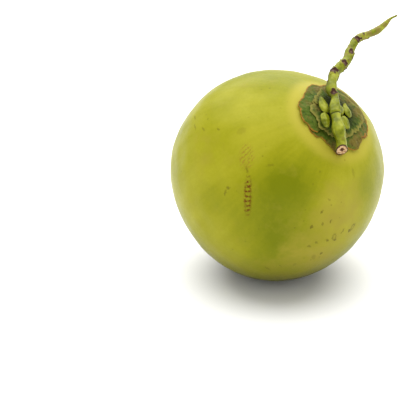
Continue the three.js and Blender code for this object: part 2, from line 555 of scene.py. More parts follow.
@dataclass(frozen=True)
class HuskSkin(Finish):
    """Coconut rind, grown under a bloom of wax: satin, yellow-green, streaked and blotched with green.

    Args:
        yellow, yellow_green, olive_green: from where the sun reached the rind to where it was shaded.
        dry_tan: where it has begun to dry.
        underside: painted shade where it lies on the ground.
        halo: round the calyx.
        scab_brown, scab_tan, dark_mark: ladder scars, hatched rubs, and spots and rings.
        spot_share: how much of a spot's colour covers the skin.
        halo_ends: where the halo begins and ends, in degrees from the stem axis.
        streak_width, streak_run: how wide the streaks are in millimetres, and how many times longer.
        fibre_width, fibre_run: the same for the fine fibres that show as relief.
        outline_shake: how far the blemishes' outlines stray, in millimetres.
        pore_relief, fibre_relief, scab_relief: heights of the relief, in millimetres.
        scab_roughness: how dull scabs and rubs are.
        freckle_spacing: the distance between freckles, in millimetres.
        zones, marks: the broad patches, and the blemishes of the side that faces the front.
        back_mark_count: how many small blemishes the other side has.
    """

    name: str = "waxy_coconut_rind"
    patterns: tuple[Pattern, ...] = (
        Pattern("blotch", 46.0, 3.0),
        Pattern("freckling", 30.0),
        Pattern("patch", 11.0, 4.0, 0.6),
        Pattern("mottle", 2.2, 3.0, 0.65),
        Pattern("shake", 1 / 0.7, 3.0),
        Pattern("pore", 0.9),
    )
    roughness: float = 0.36
    specular: float = 0.10
    yellow: str = "#9f9a26"
    yellow_green: str = "#8a8910"
    olive_green: str = "#6c7200"
    dry_tan: str = "#93892a"
    underside: str = "#3a3804"
    halo: str = "#a69c32"
    scab_brown: str = "#5e2a08"
    scab_tan: str = "#8a6a1e"
    dark_mark: str = "#5a4e08"
    spot_share: float = 0.85
    halo_ends: tuple[float, float] = (22.5, 29.0)
    streak_width: float = 7.0
    streak_run: float = 9.0
    fibre_width: float = 1.6
    fibre_run: float = 5.0
    outline_shake: float = 3.2
    pore_relief: float = 0.05
    fibre_relief: float = 0.07
    scab_relief: float = 0.22
    scab_roughness: float = 0.8
    freckle_spacing: float = 7.0
    zones: tuple[Zone, ...] = FACING_ZONES
    marks: tuple[Mark, ...] = FACING_MARKS
    back_mark_count: int = 24

    def back_marks(self) -> list[Mark]:
        """Draw the small marks of the side that is turned away, from a fixed seed.

        Returns:
            The marks.
        """
        draw = np.random.default_rng(11)
        made = [
            Mark(83, 108, 22, 4.6, -12, 0.7, MarkKind.LADDER),
            Mark(62, 150, 16, 8, 40, 0.5, MarkKind.HATCH),
        ]
        for i in range(self.back_mark_count):
            length = draw.uniform(2.5, 7.0)
            made.append(Mark(
                from_stem=draw.uniform(45, 120),
                around=draw.uniform(35, 200),
                length=length,
                width=length * draw.uniform(0.35, 0.75),
                turn=draw.uniform(-90, 90),
                depth=draw.uniform(0.4, 0.9),
                kind=MarkKind.RING if i % 4 == 2 else MarkKind.SPOT,
            ))
        return made

    def zone_sum(
        self, tree: NodeTree, heading: Node, start: Node | float, shade: Shade,
    ) -> Node:
        """Add the zones' share of one shade to what the skin has without them.

        Args:
            tree: the material's node tree.
            heading: the direction from the fruit's middle.
            start: what the skin has without them.
            shade: the shade to add up.

        Returns:
            The node that gives the sum.
        """
        total = start
        for zone in self.zones:
            most = getattr(zone, shade.value)
            if most == 0:
                continue
            nearness = add_node(tree, "VectorMath", {"operation": "DOT_PRODUCT"}, {
                0: heading, 1: self.form.direction(zone.from_stem, zone.around),
            })
            edge = math.cos(math.radians(zone.reach))
            share = add_node(tree, "MapRange", {"interpolation_type": "SMOOTHSTEP"}, {
                "Value": nearness, "From Min": edge, "From Max": 1.0, "To Max": most,
            })
            total = add_node(tree, "Math", {}, {0: total, 1: share})
        return total

    def streaks(self, tree: NodeTree, place: Node, width: float, run: float) -> Node:
        """Add unevenness drawn out along the meridians, as the rind's fibres run.

        Args:
            tree: the material's node tree.
            place: the place in millimetres in the fruit's frame.
            width: the distance between streaks, in millimetres at the husk's middle.
            run: how many times longer than wide they are.

        Returns:
            The noise node.
        """
        flat = add_node(tree, "VectorMath", {"operation": "MULTIPLY"}, {0: place, 1: (1, 1, 0)})
        spoke = add_node(tree, "VectorMath", {"operation": "NORMALIZE"}, {0: flat})
        girth = (self.form.radius,) * 3
        wide = add_node(tree, "VectorMath", {"operation": "MULTIPLY"}, {0: spoke, 1: girth})
        tall = add_node(tree, "VectorMath", {"operation": "MULTIPLY"}, {0: place, 1: (0, 0, 1 / run)})
        drawn = add_node(tree, "VectorMath", {"operation": "ADD"}, {0: wide, 1: tall})
        return add_node(tree, "TexNoise", {}, {
            "Vector": drawn, "Scale": 1 / width, "Detail": 4.0, "Roughness": 0.6,
        })

    def mark_strength(self, tree: NodeTree, place: Node, mark: Mark) -> Node:
        """Add how strongly one blemish shows.

        Args:
            tree: the material's node tree.
            place: the place in millimetres, already shaken so that outlines come out ragged.
            mark: the blemish.

        Returns:
            The node that gives its strength.
        """
        middle = self.form.over(np.radians(mark.from_stem), np.radians(mark.around), 0.0)
        local = add_node(tree, "Mapping", {"vector_type": "TEXTURE"}, {
            "Vector": place,
            "Location": tuple(middle),
            "Rotation": mark.axes(self.form).to_euler(),
            "Scale": (mark.length / 2, mark.width / 2, self.form.radius / 2),
        })
        spread = add_node(tree, "VectorMath", {"operation": "LENGTH"}, {0: local}).outputs["Value"]
        solid = add_node(tree, "MapRange", {"interpolation_type": "SMOOTHSTEP"}, {
            "Value": spread, "From Min": 1.1, "From Max": 0.5, "To Max": mark.depth,
        })
        if mark.kind is MarkKind.SPOT:
            return solid
        if mark.kind is MarkKind.RING:
            lines = add_node(tree, "MapRange", {"interpolation_type": "SMOOTHSTEP"}, {
                "Value": spread, "From Min": 0.35, "From Max": 0.75, "To Min": 0.15,
            })
        else:
            lines = self.rungs(tree, place, local, mark)
        return add_node(tree, "Math", {"operation": "MULTIPLY"}, {0: solid, 1: lines})

    @staticmethod
    def rungs(
        tree: NodeTree, place: Node, local: Node, mark: Mark,
    ) -> Node:
        """Add the lines across a mark: wavering rungs, with a rail along each side of a ladder.

        Args:
            tree: the material's node tree.
            place: the place in millimetres, already shaken.
            local: the place in the mark's own axes, 1 at its outline.
            mark: the blemish.

        Returns:
            The node that gives the lines' strength.
        """
        laddered = mark.kind is MarkKind.LADDER
        step, slant, waver = (3.4, 0.25, 2.0) if laddered else (3.2, 1.1, 12.0)
        unevenness = add_node(tree, "TexNoise", {}, {"Vector": place, "Scale": 1 / 6, "Detail": 1.0})
        wander = add_node(tree, "Math", {"operation": "MULTIPLY"}, {0: unevenness, 1: waver})
        slanted = add_node(tree, "VectorMath", {"operation": "DOT_PRODUCT"}, {
            0: local, 1: (mark.length / 2, slant * mark.width / 2, 0),
        })
        turned = add_node(tree, "Math", {"operation": "MULTIPLY_ADD"}, {
            0: slanted.outputs["Value"], 1: 2 * math.pi / step, 2: wander,
        })
        wave = add_node(tree, "Math", {"operation": "SINE"}, {0: turned})
        lines = add_node(tree, "MapRange", {}, {"Value": wave, "From Min": -0.2, "From Max": 0.7})
        if not laddered:
            return lines
        across = add_node(tree, "SeparateXYZ", {}, {0: local})
        aside = add_node(tree, "Math", {"operation": "ABSOLUTE"}, {0: across.outputs["Y"]})
        rails = add_node(tree, "MapRange", {"interpolation_type": "SMOOTHSTEP"}, {
            "Value": aside, "From Min": 0.28, "From Max": 0.55, "To Max": 0.75,
        })
        return add_node(tree, "Math", {"operation": "MAXIMUM"}, {0: lines, 1: rails})

    def gather(self, tree: NodeTree, place: Node, marks: list[Mark]) -> Node:
        """Join the strengths of several marks, keeping the strongest at each place.

        Args:
            tree: the material's node tree.
            place: the place in millimetres, already shaken.
            marks: the blemishes.

        Returns:
            The node that gives the strength.
        """
        most = self.mark_strength(tree, place, marks[0])
        for mark in marks[1:]:
            part = self.mark_strength(tree, place, mark)
            most = add_node(tree, "Math", {"operation": "MAXIMUM"}, {0: most, 1: part})
        return most

    def varying(self, tree: NodeTree) -> dict:
        """Add the rind's colour, sheen and relief.

        Args:
            tree: the material's node tree.

        Returns:
            The shader's inputs by name.
        """
        place, patterns = self.fruit_millimetres(tree)
        clear = self.clear_skin(tree, place, patterns)
        spot, rub, scab = self.blemishes(tree, place, patterns)
        coats = ((spot, self.dark_mark), (rub, self.scab_tan), (scab, self.scab_brown))

        # Corky scabs are dull where the wax is satin.
        dull = add_node(tree, "Math", {"operation": "MAXIMUM"}, {0: scab, 1: rub})
        sheen = add_node(tree, "MapRange", {}, {
            "Value": patterns["mottle"], "From Min": 0.3, "From Max": 0.7,
            "To Min": self.roughness - 0.05, "To Max": self.roughness + 0.05,
        })
        rough = add_node(tree, "Mix", {}, {"Factor": dull, "A": sheen, "B": self.scab_roughness})

        # Fine fibres show through the skin, between pores, and scabs stand a little proud.
        fine = self.streaks(tree, place, self.fibre_width, self.fibre_run)
        relief = 0.0
        heights = (
            (patterns["pore"], self.pore_relief),
            (fine, self.fibre_relief),
            (dull, self.scab_relief),
        )
        for part, height in heights:
            relief = add_node(tree, "Math", {"operation": "MULTIPLY_ADD"}, {0: part, 1: height, 2: relief})
        return {
            "Base Color": self.cover(tree, clear, coats),
            "Roughness": rough,
            "Normal": add_node(tree, "Bump", {}, {"Height": relief, "Distance": MM, "Strength": 0.8}),
        }

    def clear_skin(self, tree: NodeTree, place: Node, patterns: dict) -> Node:
        """Add the skin's colour without its blemishes.

        Args:
            tree: the material's node tree.
            place: the place in millimetres in the fruit's frame.
            patterns: the skin's patterns by name.

        Returns:
            The node that gives the colour.
        """
        heading = add_node(tree, "VectorMath", {"operation": "NORMALIZE"}, {0: place})
        spreads = []
        streaks = self.streaks(tree, place, self.streak_width, self.streak_run)
        shares = (
            (patterns["blotch"], 0.12, 0.62),
            (streaks, -0.06, 0.06),
            (patterns["mottle"], -0.06, 0.06),
        )
        for pattern, low, high in shares:
            spreads.append(add_node(tree, "MapRange", {}, {
                "Value": pattern, "From Min": 0.3, "From Max": 0.7, "To Min": low, "To Max": high,
            }))
        green = self.zone_sum(tree, heading, spreads[0], Shade.GREEN)
        for spread in spreads[1:]:
            green = add_node(tree, "Math", {}, {0: green, 1: spread})
        ramp = add_node(tree, "ValToRGB", {}, {"Fac": green})
        stops = ramp.color_ramp.elements
        stops[0].color = linear(self.yellow)
        stops[1].color = linear(self.olive_green)
        stops.new(0.45).color = linear(self.yellow_green)

        # It is tan where it has begun to dry, darker underneath with painted shade, and paler close round
        # the calyx.
        patchy = add_node(tree, "MapRange", {"clamp": False}, {
            "Value": patterns["patch"], "From Min": 0.55, "From Max": 0.7, "To Max": 0.25,
        })
        up_stem = add_node(tree, "VectorMath", {"operation": "DOT_PRODUCT"}, {0: heading, 1: (0, 0, 1)})
        inner, outer = (math.cos(math.radians(end)) for end in self.halo_ends)
        near_calyx = add_node(tree, "MapRange", {"interpolation_type": "SMOOTHSTEP"}, {
            "Value": up_stem.outputs["Value"], "From Min": outer, "From Max": inner, "To Max": 0.85,
        })
        return self.cover(tree, ramp, (
            (self.zone_sum(tree, heading, patchy, Shade.TAN), self.dry_tan),
            (self.zone_sum(tree, heading, 0.0, Shade.PAINTED_SHADE), self.underside),
            (near_calyx, self.halo),
        ))

    def blemishes(self, tree: NodeTree, place: Node, patterns: dict) -> list[Node]:
        """Add every blemish, with ragged outlines.

        Args:
            tree: the material's node tree.
            place: the place in millimetres in the fruit's frame.
            patterns: the skin's patterns by name.

        Returns:
            The nodes that give the strength of spots, of rubs and of scabs.
        """
        shake = patterns["shake"]
        centred = add_node(tree, "VectorMath", {"operation": "SUBTRACT"}, {
            0: shake.outputs["Color"], 1: (0.5, 0.5, 0.5),
        })
        small = add_node(tree, "VectorMath", {"operation": "SCALE"}, {
            0: centred, "Scale": self.outline_shake,
        })
        shaken = add_node(tree, "VectorMath", {"operation": "ADD"}, {0: place, 1: small})
        whole = add_node(tree, "MapRange", {}, {
            "Value": shake.outputs["Fac"], "From Min": 0.36, "From Max": 0.52,
        })
        strengths = []
        for kinds, share in (
            ((MarkKind.SPOT, MarkKind.RING), self.spot_share),
            ((MarkKind.HATCH,), whole),
            ((MarkKind.LADDER,), whole),
        ):
            marks = [mark for mark in (*self.marks, *self.back_marks()) if mark.kind in kinds]
            gathered = self.gather(tree, shaken, marks)
            if MarkKind.SPOT in kinds:
                freckles = self.freckles(tree, place, patterns["freckling"])
                gathered = add_node(tree, "Math", {"operation": "MAXIMUM"}, {0: gathered, 1: freckles})
            strengths.append(add_node(tree, "Math", {"operation": "MULTIPLY"}, {0: gathered, 1: share}))
        return strengths

    def freckles(self, tree: NodeTree, place: Node, patches: Node) -> Node:
        """Add sparse freckles about a millimetre wide, thicker in some places than in others.

        Args:
            tree: the material's node tree.
            place: the place in millimetres in the fruit's frame.
            patches: the pattern that says where they are thick.

        Returns:
            The node that gives their strength.
        """
        cells = add_node(tree, "TexVoronoi", {}, {
            "Vector": place, "Scale": 1 / self.freckle_spacing,
        })
        dots = add_node(tree, "MapRange", {}, {
            "Value": cells, "From Min": 0.13, "From Max": 0.05, "To Max": 0.5,
        })
        where = add_node(tree, "MapRange", {}, {"Value": patches, "From Min": 0.46, "From Max": 0.58})
        return add_node(tree, "Math", {"operation": "MULTIPLY"}, {0: dots, 1: where})


@dataclass(frozen=True)
class ScaleSkin(Finish):
    """Leathery calyx scale, drying from its rim inwards: dull dark green, scurfy, rimmed with orange-brown.

    Args:
        leaf_green, grey_green, olive_brown: the leaf, its scurf, and where it has begun to dry.
        crack_and_shade_dark: its cracks, and painted shade in the deep part beside the stalk.
        rim_dry, rim_bleached: the rim and its very edge.
        rim_width: how wide the dry rim is, in millimetres.
        deep: where the painted shade of the middle begins and where it is darkest, in millimetres from the
            stem axis.
    """

    name: str = "leathery_calyx_scale"
    patterns: tuple[Pattern, ...] = (Pattern("patch", 9.0, 4.0), Pattern("scurf", 2.4, 5.0, 0.7))
    roughness: float = 0.6
    specular: float = 0.12
    leaf_green: str = "#43570e"
    grey_green: str = "#6a7034"
    olive_brown: str = "#675a20"
    rim_dry: str = "#94601c"
    rim_bleached: str = "#a58d4c"
    rim_width: float = 1.5
    crack_and_shade_dark: str = "#1f2804"
    deep: tuple[float, float] = (24.0, 15.0)

    def varying(self, tree: NodeTree) -> dict:
        """Add the scale's colours and relief, from "to_rim", the distance from its rim in millimetres.

        Args:
            tree: the material's node tree.

        Returns:
            The shader's inputs by name.
        """
        place, patterns = self.fruit_millimetres(tree)
        patches, scurf = patterns["patch"], patterns["scurf"]

        # The calyx has dried further on its +Y side, and painted shade in its middle frays outwards.
        across = add_node(tree, "SeparateXYZ", {}, {0: place})
        dried = add_node(tree, "MapRange", {}, {
            "Value": across.outputs["Y"], "From Min": 0.0, "From Max": 24.0, "To Max": 0.13,
        })
        patched = add_node(tree, "Math", {}, {0: patches, 1: dried})
        flat = add_node(tree, "VectorMath", {"operation": "MULTIPLY"}, {0: place, 1: (1, 1, 0)})
        off_axis = add_node(tree, "VectorMath", {"operation": "LENGTH"}, {0: flat}).outputs["Value"]
        frayed = add_node(tree, "Math", {"operation": "MULTIPLY_ADD"}, {0: scurf, 1: 9.0, 2: off_axis})
        to_rim = add_node(tree, "Attribute", {"attribute_name": "to_rim"}, {}).outputs["Fac"]
        wander = add_node(tree, "Math", {"operation": "MULTIPLY_ADD"}, {0: patches, 1: 5.0, 2: -2.4})
        edge = add_node(tree, "Math", {}, {0: to_rim, 1: wander})

        # For each layer: what it reads, where it begins and is full, its most, its paint and how it rises.
        layers = (
            (patched, 0.50, 0.66, 1.0, self.olive_brown, "LINEAR"),
            (scurf, 0.52, 0.68, 0.55, self.grey_green, "LINEAR"),
            (scurf, 0.45, 0.33, 0.85, self.crack_and_shade_dark, "LINEAR"),
            # Painted shade in the middle, beside the stalk.
            (frayed, *self.deep, 0.92, self.crack_and_shade_dark, "LINEAR"),
            (edge, self.rim_width, 0.2 * self.rim_width, 0.85, self.rim_dry, "SMOOTHSTEP"),
            (edge, 0.1, -0.6, 0.7, self.rim_bleached, "SMOOTHSTEP"),
        )
        coats = []
        for reading, begins, full, most, paint, rise in layers:
            share = add_node(tree, "MapRange", {"interpolation_type": rise}, {
                "Value": reading, "From Min": begins, "From Max": full, "To Max": most,
            })
            coats.append((share, paint))
        return {
            "Base Color": self.cover(tree, linear(self.leaf_green), coats),
            "Roughness": add_node(tree, "MapRange", {}, {
                "Value": scurf, "To Min": self.roughness - 0.15, "To Max": self.roughness + 0.2,
            }),
            "Normal": add_node(tree, "Bump", {}, {"Height": scurf, "Distance": 0.45 * MM, "Strength": 1.0}),
        }


@dataclass(frozen=True)
class ShootSkin(Finish):
    """Young shoot skin, smooth and turgid: yellow-green with a soft shine, and painted shade in its furrows.

    Args:
        pale, fresh, shaded: the blotches of its green, random tone with painted light in the pale one and
            painted shade in the shaded one.
        dried: where it has dried.
        crease: painted shade in its furrow and joint groove and on its shaded side; also the bracts' darker
            tips.
        scar, scar_middle: where a flower dropped off.
        wood, wood_dark, pith: the cut end from its bark inwards.
    """

    name: str = "young_shoot_skin"
    patterns: tuple[Pattern, ...] = (Pattern("blotch", 6.0, 3.0), Pattern("grain", 1.1, 3.0, 0.6))
    roughness: float = 0.42
    specular: float = 0.15
    coat: float = 0.06
    pale: str = "#95982e"
    fresh: str = "#787e12"
    shaded: str = "#585f08"
    crease: str = "#3c4102"
    dried: str = "#7c6b2e"
    scar: str = "#3a1d17"
    scar_middle: str = "#6c4c3c"
    wood: str = "#c9a780"
    wood_dark: str = "#8a6038"
    pith: str = "#4c2a10"

    def varying(self, tree: NodeTree) -> dict:
        """Add the shoot's colours and relief, from the mesh's own readings, such as "scar" and "wood".

        Args:
            tree: the material's node tree.

        Returns:
            The shader's inputs by name.
        """
        _, patterns = self.fruit_millimetres(tree)
        grain = patterns["grain"]
        # Random blotches between a pale tone with painted light and a shaded tone with painted shade.
        blotches = add_node(tree, "ValToRGB", {}, {"Fac": patterns["blotch"]})
        stops = blotches.color_ramp.elements
        stops[0].position, stops[1].position = 0.32, 0.68
        stops[0].color = linear(self.pale)
        stops[1].color = linear(self.shaded)
        stops.new(0.5).color = linear(self.fresh)
        # Painted shade: "shade" darkens the sides facing away from the light, and "crease" the furrow and
        # joint groove.
        layers = (
            ("shade", self.crease, 0.6),
            ("dry", self.dried, 0.75),
            ("crease", self.crease, 0.9),
            ("scar", self.scar, 0.95),
            ("scar_middle", self.scar_middle, 0.8),
            ("wood", self.wood, 1.0),
            ("wood_fleck", self.wood_dark, 0.8),
            ("pith", self.pith, 0.95),
        )
        shake = add_node(tree, "Math", {"operation": "MULTIPLY_ADD"}, {0: grain, 1: 0.5, 2: -0.25})
        coats = []
        for name, paint, most in layers:
            reading = add_node(tree, "Attribute", {"attribute_name": name}, {}).outputs["Fac"]
            frayed = add_node(tree, "Math", {}, {0: reading, 1: shake})
            share = add_node(tree, "MapRange", {"interpolation_type": "SMOOTHSTEP"}, {
                "Value": frayed, "From Min": 0.3, "From Max": 0.6, "To Max": most,
            })
            coats.append((share, paint))
        return {
            "Base Color": self.cover(tree, blotches, coats),
            "Normal": add_node(tree, "Bump", {}, {"Height": grain, "Distance": 0.12 * MM, "Strength": 0.7}),
        }


# ---------------------------------------------------------------- husk


@dataclass
class Husk:
    """The whole fruit in its rind.

    Args:
        form: the fruit's form.
        cuts: how many strips each side of the starting cube is cut into; 128 gives skin facets 1 mm wide.
        swell: height of the broad unevenness, in millimetres.
        dimple: height of the finer unevenness, in millimetres.
        calm: the angles from the stem axis between which the unevenness grows from nothing.
        rest_rounding: how softly the resting spot meets the rest, in millimetres.
    """

    form: FruitForm
    cuts: int = 128
    swell: float = 0.40
    dimple: float = 0.10
    calm: tuple[float, float] = (math.radians(20), math.radians(34))
    rest_rounding: float = 0.3

    def ball(self) -> tuple[np.ndarray, list]:
        """Cut a cube's sides into a grid and blow it up to a ball.

        Returns:
            Unit directions, and the faces between them.
        """
        work = bmesh.new()
        bmesh.ops.create_cube(work, size=2.0)
        bmesh.ops.subdivide_edges(work, edges=work.edges[:], cuts=self.cuts - 1, use_grid_fill=True)
        corners = np.array([v.co for v in work.verts])
        faces = [[v.index for v in f.verts] for f in work.faces]
        work.free()
        return unit(np.tan(corners * math.pi / 4)), faces

    def build(self) -> Piece:
        """Shape the husk and set it on its resting spot.

        Returns:
            The piece.
        """
        directions, faces = self.ball()
        from_stem = np.arccos(np.clip(directions[:, 2], -1, 1))
        around = np.arctan2(directions[:, 1], directions[:, 0])
        points = self.form.over(from_stem, around, 0.0)
        height = self.swell * Ripple(48, 3)(points) + self.dimple * Ripple(15, 4)(points)
        height *= smooth(from_stem, *self.calm)
        ground = self.form.to_ground(points + directions * height[:, None])
        ground[:, 2] = (ground[:, 2] + np.hypot(ground[:, 2], self.rest_rounding)) / 2
        return Piece("coconut_husk", "husk", "husk_skin", ground, faces)


# ---------------------------------------------------------------- calyx


@dataclass
class Whorl:
    """Three overlapping scales of the calyx.

    Args:
        name: the pieces' name, which a number follows.
        form: the fruit that they lie on.
        reaches: how far the whorl reaches along the husk from the stem axis: pairs of degrees round that
            axis and millimetres.
        first_angle: the middle of the first scale, in degrees round the stem axis.
        seat: the height of their underside over the skin, in millimetres.
        seed: which ragged rim they have.
        count: how many scales there are.
        half_angle: half of the angle that each spans.
        thickness: how thick each is away from its rim.
        rise: how much higher its overlapping side lies than the other.
        inner_arc: where it begins.
        end_rounding: how much shorter it is at its two sides.
        rim_wave, rim_fringe: the heights of the rim's lobes and of its fine fringe.
        curl: how far the rim lifts off.
        pucker, crinkle: the heights of its broad and fine unevenness, in millimetres.
        vein, vein_count: how high its veins are, in millimetres, and how many a whole turn would have.
        side_taper: how far in from its sides it thins, as an angle round the stem axis.
        side_bleach: how far in from the rim its sides have bleached too, as a share of the reach.
        columns, rows: how finely it is drawn, round the stem and outwards.
    """

    name: str
    form: FruitForm
    reaches: tuple[tuple[float, float], ...]
    first_angle: float
    seat: float
    seed: int
    count: int = 3
    half_angle: float = math.radians(75)
    thickness: float = 0.8
    rise: float = 1.1
    inner_arc: float = 4.2
    end_rounding: float = 0.10
    rim_wave: float = 0.45
    rim_fringe: float = 0.25
    curl: float = 0.4
    pucker: float = 0.16
    crinkle: float = 0.07
    vein: float = 0.05
    vein_count: int = 46
    side_taper: float = math.radians(9)
    side_bleach: float = 0.12
    columns: int = 221
    rows: int = 44

    def rim(self, angle: np.ndarray, offset: np.ndarray) -> np.ndarray:
        """Give how far a scale reaches at each angle.

        Args:
            angle: the angle round the stem axis.
            offset: the angle from the scale's own middle.

        Returns:
            The arc from the stem axis in millimetres.
        """
        degrees, arcs = np.array(self.reaches).T
        reach = np.interp(np.degrees(angle), degrees, arcs, period=360)
        circle = np.stack([np.cos(angle), np.sin(angle), np.zeros_like(angle)], -1) * reach[..., None]
        ragged = self.rim_wave * Ripple(9, self.seed)(circle)
        ragged = ragged + self.rim_fringe * Ripple(2.8, self.seed + 1)(circle)
        return reach * (1 - self.end_rounding * (offset / self.half_angle) ** 4) + ragged

    def build(self) -> list[Piece]:
        """Shape every scale of the whorl."""
        return [self.scale(i) for i in range(self.count)]

    def scale(self, number: int) -> Piece:
        """Shape one scale as closed loops, each out along its top and back along its underside.

        Args:
            number: which scale of the whorl it is, from 0.

        Returns:
            The piece.
        """
        overlap_start = 2 * math.pi / self.count - self.half_angle
        offset = np.linspace(-self.half_angle, self.half_angle, self.columns)[:, None]
        outwards = np.linspace(0, 1, self.rows)[None, :]
        angle = math.radians(self.first_angle + 360 / self.count * number) + offset
        rim = self.rim(angle, offset)
        arc = self.inner_arc + (rim - self.inner_arc) * outwards
        angle = np.broadcast_to(angle, arc.shape)
        from_stem = arc / self.form.radius
        flat = self.form.over(from_stem, angle, 0.0)
        lift = self.rise * smooth(offset, -overlap_start, overlap_start)
        curled = self.curl * smooth(outwards, 0.75, 1) * (0.5 + 0.5 * Ripple(13, self.seed + 2)(flat))
        under = self.seat + lift + curled
        puckers = self.pucker * Ripple(7, self.seed + 3)(flat)
        puckers = puckers + self.crinkle * Ripple(2.6, self.seed + 4)(flat)
        veins = np.cos(angle * self.vein_count + 1.5 * Ripple(9, self.seed + 5)(flat))
        veins = self.vein * veins * smooth(outwards, 0.2, 0.6)
        side = smooth(self.half_angle - np.abs(offset), 0, self.side_taper)
        body = self.thickness * (1 - 0.62 * outwards ** 3) * (0.3 + 0.7 * side)
        top = self.form.over(from_stem, angle, under + body + puckers + veins)
        bottom = self.form.over(from_stem, angle, under)
        loops = np.concatenate([top, bottom[:, ::-1]], axis=1)

        to_end = (1 - outwards) * (rim - self.inner_arc)
        to_side = (self.half_angle - np.abs(offset)) * arc
        to_side = to_side + to_end * smooth(1 - outwards, 0, self.side_bleach)
        to_rim = np.minimum(to_side, to_end)
        to_rim = np.concatenate([to_rim, to_rim[:, ::-1]], axis=1)
        node = f"{self.name}_{number + 1}"
        return Piece(
            f"calyx_{node}", node, "calyx_scale", self.form.to_ground(loops.reshape(-1, 3)),
            loft_faces(self.columns, 2 * self.rows), {"to_rim": to_rim.ravel()},
        )


PETAL_REACHES = (
    (-172, 29.0), (-158, 27.0), (-150, 26.8), (-140, 27.8), (-128, 29.2), (-119, 28.4), (-109, 29.4),
    (-100, 29.4), (-93, 27.6), (-85, 28.6), (-75, 27.4), (-69, 26.6), (-65, 24.8), (-58, 25.6),
    (-50, 27.0), (-42, 28.8), (-34, 31.4), (-24, 30.5), (-14, 26.8), (-3, 27.8), (8, 27.8),
    (20, 27.0), (29, 25.6), (35, 28.6), (46, 31.0), (58, 32.4), (72, 33.0), (95, 33.0),
    (120, 32.5), (150, 31.5), (164, 29.6), (175, 30.8),
)
SEPAL_REACHES = (
    (-172, 20.0), (-158, 18.6), (-141, 19.6), (-129, 21.2), (-117, 21.6), (-106, 20.4), (-98, 19.2),
    (-84, 21.6), (-74, 22.4), (-66, 20.6), (-50, 21.8), (-30, 20.0), (-8, 18.4), (15, 17.6),
    (40, 20.2), (59, 22.8), (75, 24.6), (100, 23.6), (125, 22.4), (150, 23.4), (174, 23.0),
)


# ---------------------------------------------------------------- bracts


@dataclass(frozen=True)
class Bract:
    """A small fleshy scale that lies on the calyx beside the stalk.

    Args:
        x, y: its middle in the fruit's frame, in millimetres.
        heading: the way its tip points, in degrees round the stem axis.
        length, width: its size in millimetres.
    """

    x: float
    y: float
    heading: float
    length: float
    width: float


@dataclass
class Bracts:
    """The four bracts: two on each side of the stalk.

    Args:
        form: the fruit that they belong to.
        seat: how high their middles are over the skin, in millimetres.
        thickness: how thick they are, in millimetres.
        tip_curl: how far their tips lift, in millimetres.
        loops, across: how finely each is drawn, along it and round it.
        bracts: where each lies and how big it is.
    """

    form: FruitForm
    seat: float = 4.7
    thickness: float = 2.6
    tip_curl: float = 0.9
    loops: int = 60
    across: int = 48
    bracts: tuple[Bract, ...] = (
        Bract(-8.7, -10.3, 160, 14.0, 7.2),
        Bract(2.7, -17.2, -27, 13.0, 7.2),
        Bract(1.3, 6.0, 165, 12.0, 6.4),
        Bract(9.6, -3.0, -8, 11.5, 8.4),
    )

    def build(self) -> list[Piece]:
        """Shape every bract."""
        return [self.shape(i, bract) for i, bract in enumerate(self.bracts)]

    def shape(self, number: int, bract: Bract) -> Piece:
        """Shape one bract as loops across it, from its broad foot to its tip.

        Args:
            number: which bract it is, from 0.
            bract: where it lies and how big it is.

        Returns:
            The piece.
        """
        along = (1 - np.cos(np.linspace(0.02, 0.985, self.loops) * math.pi))[:, None] / 2
        turn = np.linspace(0, 2 * math.pi, self.across, endpoint=False)[None, :]
        breadth = np.sin(math.pi * along ** 0.72) ** 0.62
        dome = np.sin(math.pi * along ** 0.8) ** 0.55
        x = bract.length * (along - 0.5) + 0 * turn
        y = bract.width / 2 * breadth * np.cos(turn)
        keel = 0.18 * np.exp(-(np.cos(turn) / 0.22) ** 2) * (np.sin(turn) > 0)
        z = self.thickness * dome * (np.where(np.sin(turn) > 0, 0.72, 0.22) * np.sin(turn) + keel)
        z = z + self.tip_curl * smooth(along, 0.6, 1.0) ** 2
        local = np.stack([x, y, z], -1)
        local[..., 2] += 0.12 * Ripple(3.0, 40 + number)(local + 50.0 * number)

        foot = self.form.radius + self.seat + self.thickness * 0.3
        up = unit(np.array([bract.x, bract.y, math.sqrt(foot ** 2 - bract.x ** 2 - bract.y ** 2)]))
        heading = math.radians(bract.heading)
        ahead = np.array([math.cos(heading), math.sin(heading), 0.0])
        ahead = unit(ahead - up * (ahead @ up))
        axes = np.stack([ahead, np.cross(up, ahead), up])
        places = (local @ axes + up * foot).reshape(-1, 3)
        crease = np.broadcast_to(0.6 * smooth(along, 0.75, 1.0), x.shape).ravel()
        # Painted shade along each bract's underside and edges.
        shade = np.broadcast_to(0.72 * (1 - smooth(np.sin(turn), -0.1, 0.7)), x.shape).ravel()
        node = f"bract_{number + 1}"
        return Piece(
            f"stem_{node}", node, "bract", self.form.to_ground(places),
            loft_faces(self.loops, self.across), {"crease": crease, "shade": shade},
        )


# ---------------------------------------------------------------- stalk


@dataclass(frozen=True)
class FlowerScar:
    """A scar where a male flower dropped off the stalk.

    Args:
        along: its distance from the cut end, in millimetres.
        facing: the way it faces, as a direction in the fruit's frame.
        size: its radius in millimetres.
    """

    along: float
    facing: tuple[float, float, float]
    size: float


